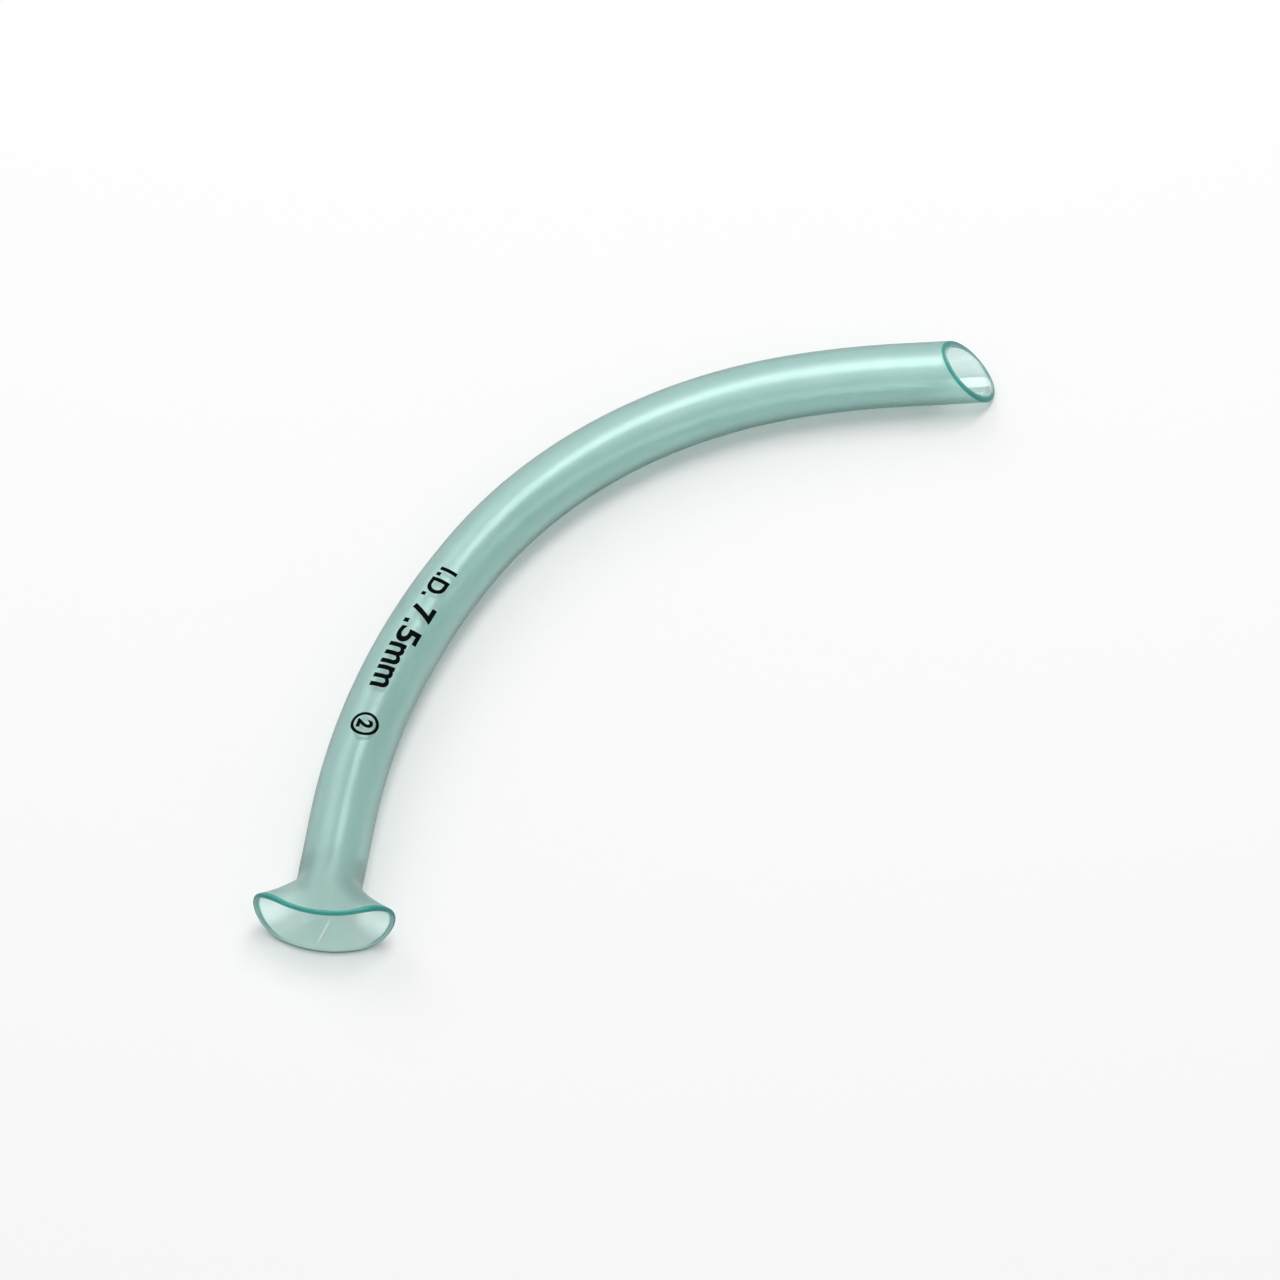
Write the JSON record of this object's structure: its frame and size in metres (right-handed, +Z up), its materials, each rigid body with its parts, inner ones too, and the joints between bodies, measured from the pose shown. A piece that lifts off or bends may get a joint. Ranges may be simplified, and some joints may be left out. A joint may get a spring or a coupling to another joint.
{
  "type": "nasopharyngeal airway",
  "caption": "Nasopharyngeal airway: a curved, clear green soft tube with a flared, saddle-cut flange at one end and a bevelled, rounded tip at the other, lying on its side.",
  "frame": {"origin": "under the middle of the bounding box, on the surface that the airway lies on", "axes": "+Z up with the airway lying flat on its side, -Y out of the flange's mouth along the tube's straight root, +X towards the bevelled tip"},
  "size_m": [0.0944, 0.1232, 0.0096],
  "materials": {
    "soft_pvc": "translucent green-tinted soft PVC with a satin skin"
  },
  "bodies": {
    "root": {"airway": "soft_pvc"}
  },
  "joints": []
}
